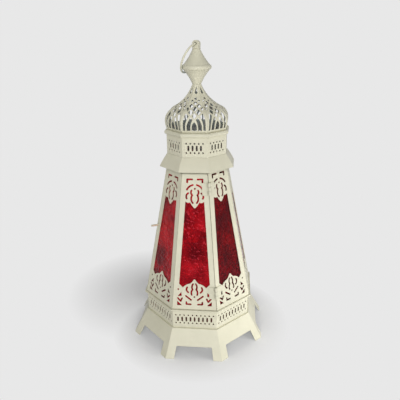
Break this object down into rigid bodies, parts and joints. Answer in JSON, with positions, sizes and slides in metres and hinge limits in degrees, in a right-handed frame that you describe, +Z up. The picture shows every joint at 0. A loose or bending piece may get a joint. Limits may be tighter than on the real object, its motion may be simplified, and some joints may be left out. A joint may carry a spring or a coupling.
{
  "type": "candle lantern",
  "caption": "Eight-sided standing candle lantern: tapered pierced metal walls with red glass, a hinged door, a pierced onion dome and a carrying ring.",
  "frame": {"origin": "middle of the footprint, on the floor plane", "axes": "+Z up, -Y towards the front side, which is the hinged side of the door, +X to the right seen from the front"},
  "size_m": [0.206, 0.206, 0.45],
  "materials": {
    "cream_paint": "aged satin cream paint",
    "inner_paint": "dull cream paint inside the lantern",
    "red_glass": "hammered ruby glass",
    "bare_steel": "bare spring steel"
  },
  "bodies": {
    "lantern": {"base_band": "cream_paint", "base_skirt": "cream_paint", "bottom_rail": "cream_paint", "candle_cup": "inner_paint", "closing_post": "inner_paint", "corner_post_1": "inner_paint", "corner_post_2": "inner_paint", "corner_post_3": "inner_paint", "corner_post_4": "inner_paint", "corner_post_5": "inner_paint", "dome_gore_back": "cream_paint", "dome_gore_front": "cream_paint", "dome_gore_left": "cream_paint", "dome_gore_left_back": "cream_paint", "dome_gore_left_front": "cream_paint", "dome_gore_right": "cream_paint", "dome_gore_right_back": "cream_paint", "dome_gore_right_front": "cream_paint", "dome_moulding": "cream_paint", "eave": "cream_paint", "finial_belt": "cream_paint", "finial_lower": "cream_paint", "finial_upper": "cream_paint", "floor_tray": "inner_paint", "gallery": "cream_paint", "glass_back": "red_glass", "glass_clips": "bare_steel", "glass_left": "red_glass", "glass_left_back": "red_glass", "glass_right": "red_glass", "glass_right_back": "red_glass", "glass_right_front": "red_glass", "hanger_eye": "cream_paint", "hinge_leaves": "cream_paint", "hinge_pins": "bare_steel", "hinge_post": "inner_paint", "panel_back": "cream_paint", "panel_left": "cream_paint", "panel_left_back": "cream_paint", "panel_right": "cream_paint", "panel_right_back": "cream_paint", "panel_right_front": "cream_paint"},
    "door": {"door_glass_clips": "bare_steel", "door_glass_front": "red_glass", "door_glass_left_front": "red_glass", "door_hinge_leaves": "cream_paint", "door_panel_front": "cream_paint", "door_panel_left_front": "cream_paint", "door_post": "inner_paint", "door_pull": "cream_paint"},
    "ring": {"carrying_ring": "cream_paint"}
  },
  "joints": [
    {"name": "door_hinge", "type": "hinge", "parent": "lantern", "child": "door", "pos_m": [0.03473, -0.08384, 0.07451], "axis": [-0.0749, 0.1808, 0.9807], "range_deg": [0, 110]},
    {"name": "ring_swing", "type": "hinge", "parent": "lantern", "child": "ring", "pos_m": [0, 0, 0.4457], "axis": [0.3746, 0.9272, 0], "range_deg": [0, 307]}
  ]
}
